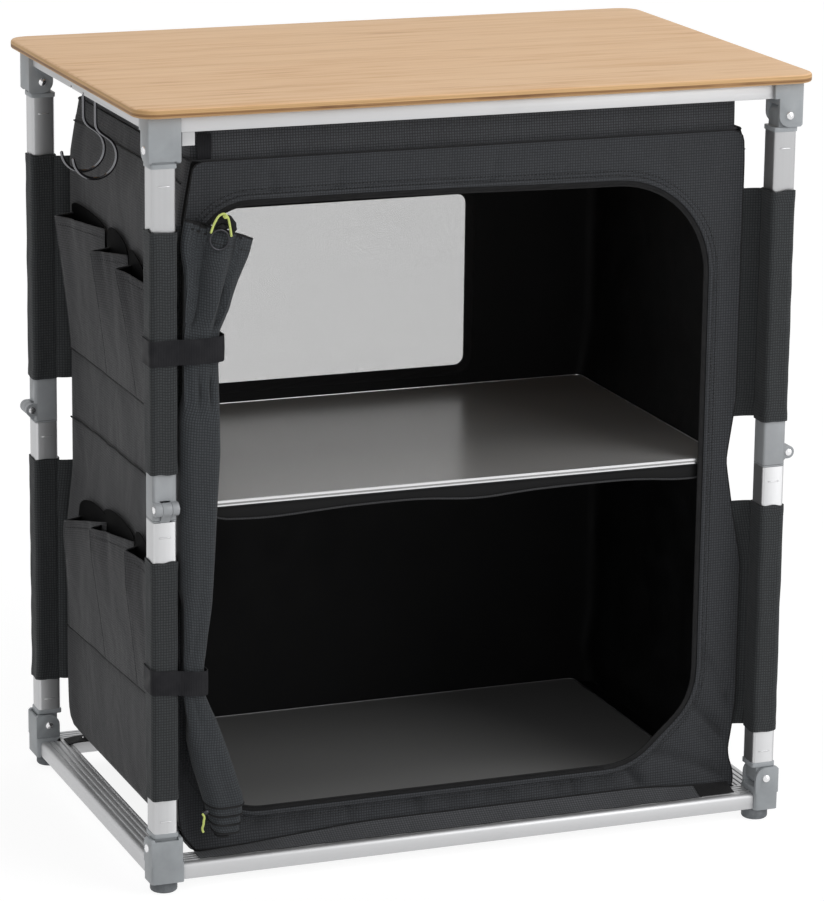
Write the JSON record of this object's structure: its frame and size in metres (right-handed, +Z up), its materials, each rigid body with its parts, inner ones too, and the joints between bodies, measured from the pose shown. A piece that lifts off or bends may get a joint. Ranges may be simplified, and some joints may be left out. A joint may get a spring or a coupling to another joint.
{
  "type": "camping storage unit",
  "caption": "Folding camp kitchen unit: bamboo worktop on a collapsible aluminium frame with a textile cupboard, shelves, side pockets, rolled-up door and wire hooks.",
  "frame": {"origin": "centre of the footprint on the ground, under the feet", "axes": "+Z up, +X to the right seen from the front, the cupboard's door opening faces -Y"},
  "size_m": [0.7, 0.45, 0.7765],
  "materials": {
    "bottom_bracket_front_left": "moulded grey, steel pin and rivet heads",
    "bottom_bracket_front_right": "moulded grey, steel pin and rivet heads",
    "bottom_bracket_rear_left": "moulded grey, steel pin and rivet heads",
    "bottom_bracket_rear_right": "moulded grey, steel pin and rivet heads",
    "bottom_rail_front": "satin anodised",
    "bottom_rail_left": "satin anodised",
    "bottom_rail_rear": "satin anodised",
    "bottom_rail_right": "satin anodised",
    "fabric_case": "dark grey ripstop",
    "foot_front_left": "matte",
    "foot_front_right": "matte",
    "foot_rear_left": "matte",
    "foot_rear_right": "matte",
    "hook_rod": "satin anodised",
    "knee_lower_front_left": "moulded grey, steel pin and rivet heads",
    "knee_lower_front_right": "moulded grey, steel pin and rivet heads",
    "knee_lower_rear_left": "moulded grey, steel pin and rivet heads",
    "knee_lower_rear_right": "moulded grey, steel pin and rivet heads",
    "knee_upper_front_left": "moulded grey, steel pin and rivet heads",
    "knee_upper_front_right": "moulded grey, steel pin and rivet heads",
    "knee_upper_rear_left": "moulded grey, steel pin and rivet heads",
    "knee_upper_rear_right": "moulded grey, steel pin and rivet heads",
    "leg_lower_front_left": "satin anodised",
    "leg_lower_front_right": "satin anodised",
    "leg_lower_rear_left": "satin anodised",
    "leg_lower_rear_right": "satin anodised",
    "leg_upper_front_left": "satin anodised",
    "leg_upper_front_right": "satin anodised",
    "leg_upper_rear_left": "satin anodised",
    "leg_upper_rear_right": "satin anodised",
    "mesh_window": "black net",
    "rolled_door": "dark grey ripstop",
    "shelf_bottom": "satin grey sheet with thin aluminium edges",
    "shelf_middle": "satin grey sheet with thin aluminium edges",
    "side_hook_front": "bright",
    "side_hook_rear": "bright",
    "side_pockets_lower": "dark grey ripstop",
    "side_pockets_upper": "dark grey ripstop",
    "sleeve_lower_front_left": "dark grey ripstop",
    "sleeve_lower_front_right": "dark grey ripstop",
    "sleeve_lower_rear_left": "dark grey ripstop",
    "sleeve_lower_rear_right": "dark grey ripstop",
    "sleeve_upper_front_left": "dark grey ripstop",
    "sleeve_upper_front_right": "dark grey ripstop",
    "sleeve_upper_rear_left": "dark grey ripstop",
    "sleeve_upper_rear_right": "dark grey ripstop",
    "table_top": "satin bamboo",
    "tie_strap_lower": "black webbing",
    "tie_strap_upper": "black webbing",
    "top_bracket_front_left": "moulded grey, steel pin and rivet heads",
    "top_bracket_front_right": "moulded grey, steel pin and rivet heads",
    "top_bracket_rear_left": "moulded grey, steel pin and rivet heads",
    "top_bracket_rear_right": "moulded grey, steel pin and rivet heads",
    "top_rail_front": "satin anodised",
    "top_rail_left": "satin anodised",
    "top_rail_rear": "satin anodised",
    "top_rail_right": "satin anodised",
    "zip_pull_lower": "yellow-green cord loop on a dark slider",
    "zip_pull_upper": "yellow-green cord loop on a dark slider"
  },
  "bodies": {
    "bottom_frame": {"bottom_rail_front": "bottom_rail_front", "bottom_rail_right": "bottom_rail_right", "bottom_rail_rear": "bottom_rail_rear", "bottom_rail_left": "bottom_rail_left", "bottom_bracket_front_right": "bottom_bracket_front_right", "bottom_bracket_rear_right": "bottom_bracket_rear_right", "bottom_bracket_rear_left": "bottom_bracket_rear_left", "bottom_bracket_front_left": "bottom_bracket_front_left", "foot_front_right": "foot_front_right", "foot_rear_right": "foot_rear_right", "foot_rear_left": "foot_rear_left", "foot_front_left": "foot_front_left", "shelf_bottom": "shelf_bottom", "fabric_case": "fabric_case", "mesh_window": "mesh_window", "rolled_door": "rolled_door", "side_pockets_upper": "side_pockets_upper", "side_pockets_lower": "side_pockets_lower", "tie_strap_upper": "tie_strap_upper", "tie_strap_lower": "tie_strap_lower", "zip_pull_upper": "zip_pull_upper", "zip_pull_lower": "zip_pull_lower"},
    "lower_leg_front_right": {"leg_lower_front_right": "leg_lower_front_right", "knee_lower_front_right": "knee_lower_front_right", "sleeve_lower_front_right": "sleeve_lower_front_right"},
    "upper_leg_front_right": {"leg_upper_front_right": "leg_upper_front_right", "knee_upper_front_right": "knee_upper_front_right", "sleeve_upper_front_right": "sleeve_upper_front_right"},
    "lower_leg_rear_right": {"leg_lower_rear_right": "leg_lower_rear_right", "knee_lower_rear_right": "knee_lower_rear_right", "sleeve_lower_rear_right": "sleeve_lower_rear_right"},
    "upper_leg_rear_right": {"leg_upper_rear_right": "leg_upper_rear_right", "knee_upper_rear_right": "knee_upper_rear_right", "sleeve_upper_rear_right": "sleeve_upper_rear_right"},
    "lower_leg_rear_left": {"leg_lower_rear_left": "leg_lower_rear_left", "knee_lower_rear_left": "knee_lower_rear_left", "sleeve_lower_rear_left": "sleeve_lower_rear_left"},
    "upper_leg_rear_left": {"leg_upper_rear_left": "leg_upper_rear_left", "knee_upper_rear_left": "knee_upper_rear_left", "sleeve_upper_rear_left": "sleeve_upper_rear_left"},
    "lower_leg_front_left": {"leg_lower_front_left": "leg_lower_front_left", "knee_lower_front_left": "knee_lower_front_left", "sleeve_lower_front_left": "sleeve_lower_front_left"},
    "upper_leg_front_left": {"leg_upper_front_left": "leg_upper_front_left", "knee_upper_front_left": "knee_upper_front_left", "sleeve_upper_front_left": "sleeve_upper_front_left"},
    "top_frame": {"table_top": "table_top", "top_rail_front": "top_rail_front", "top_rail_right": "top_rail_right", "top_rail_rear": "top_rail_rear", "top_rail_left": "top_rail_left", "top_bracket_front_right": "top_bracket_front_right", "top_bracket_rear_right": "top_bracket_rear_right", "top_bracket_rear_left": "top_bracket_rear_left", "top_bracket_front_left": "top_bracket_front_left", "hook_rod": "hook_rod"},
    "middle_shelf": {"shelf_middle": "shelf_middle"},
    "rear_hook": {"side_hook_rear": "side_hook_rear"},
    "front_hook": {"side_hook_front": "side_hook_front"}
  },
  "joints": [
    {"name": "fold_front_right", "type": "hinge", "parent": "bottom_frame", "child": "lower_leg_front_right", "pos_m": [0.3232, -0.201, 0.046], "axis": [0, -1, 0], "range_deg": [0, 90], "deforming": ["fabric_case", "mesh_window", "rolled_door", "side_pockets_upper", "side_pockets_lower", "tie_strap_upper", "tie_strap_lower", "zip_pull_upper", "zip_pull_lower"]},
    {"name": "fold_rear_right", "type": "hinge", "parent": "bottom_frame", "child": "lower_leg_rear_right", "pos_m": [0.3212, 0.203, 0.046], "axis": [1, 0, 0], "range_deg": [0, 90]},
    {"name": "fold_rear_left", "type": "hinge", "parent": "bottom_frame", "child": "lower_leg_rear_left", "pos_m": [-0.3232, 0.201, 0.046], "axis": [0, 1, 0], "range_deg": [0, 90]},
    {"name": "fold_front_left", "type": "hinge", "parent": "bottom_frame", "child": "lower_leg_front_left", "pos_m": [-0.3212, -0.203, 0.046], "axis": [-1, 0, 0], "range_deg": [0, 90]},
    {"name": "knee_front_right", "type": "hinge", "parent": "lower_leg_front_right", "child": "upper_leg_front_right", "pos_m": [0.3367, -0.201, 0.3905], "axis": [0, -1, 0], "range_deg": [-180, 0]},
    {"name": "knee_rear_right", "type": "hinge", "parent": "lower_leg_rear_right", "child": "upper_leg_rear_right", "pos_m": [0.3212, 0.2165, 0.3905], "axis": [1, 0, 0], "range_deg": [-180, 0]},
    {"name": "knee_rear_left", "type": "hinge", "parent": "lower_leg_rear_left", "child": "upper_leg_rear_left", "pos_m": [-0.3367, 0.201, 0.3905], "axis": [0, 1, 0], "range_deg": [-180, 0]},
    {"name": "knee_front_left", "type": "hinge", "parent": "lower_leg_front_left", "child": "upper_leg_front_left", "pos_m": [-0.3212, -0.2165, 0.3905], "axis": [-1, 0, 0], "range_deg": [-180, 0]},
    {"name": "top_hinge", "type": "hinge", "parent": "upper_leg_front_right", "child": "top_frame", "pos_m": [0.3232, -0.201, 0.735], "axis": [0, -1, 0], "range_deg": [0, 90]},
    {"name": "shelf_slide", "type": "slide", "parent": "bottom_frame", "child": "middle_shelf", "axis": [0, 0, -1], "range_m": [0, 0.34]},
    {"name": "rear_hook_swing", "type": "hinge", "parent": "top_frame", "child": "rear_hook", "pos_m": [-0.3236, 0.048, 0.7558], "axis": [0, 1, 0], "range_deg": [0, 90]},
    {"name": "front_hook_swing", "type": "hinge", "parent": "top_frame", "child": "front_hook", "pos_m": [-0.3236, 0.007, 0.7558], "axis": [0, 1, 0], "range_deg": [0, 90]}
  ],
  "couplings": [
    {"joint": "fold_rear_right", "follows": "fold_front_right", "ratio": 1},
    {"joint": "fold_rear_left", "follows": "fold_front_right", "ratio": 1},
    {"joint": "fold_front_left", "follows": "fold_front_right", "ratio": 1},
    {"joint": "knee_front_right", "follows": "fold_front_right", "ratio": -2},
    {"joint": "knee_rear_right", "follows": "fold_front_right", "ratio": -2},
    {"joint": "knee_rear_left", "follows": "fold_front_right", "ratio": -2},
    {"joint": "knee_front_left", "follows": "fold_front_right", "ratio": -2},
    {"joint": "top_hinge", "follows": "fold_front_right", "ratio": 1},
    {"joint": "shelf_slide", "follows": "fold_front_right", "m_per_rad": 0.21613},
    {"joint": "rear_hook_swing", "follows": "fold_front_right", "ratio": 1},
    {"joint": "front_hook_swing", "follows": "fold_front_right", "ratio": 1}
  ]
}
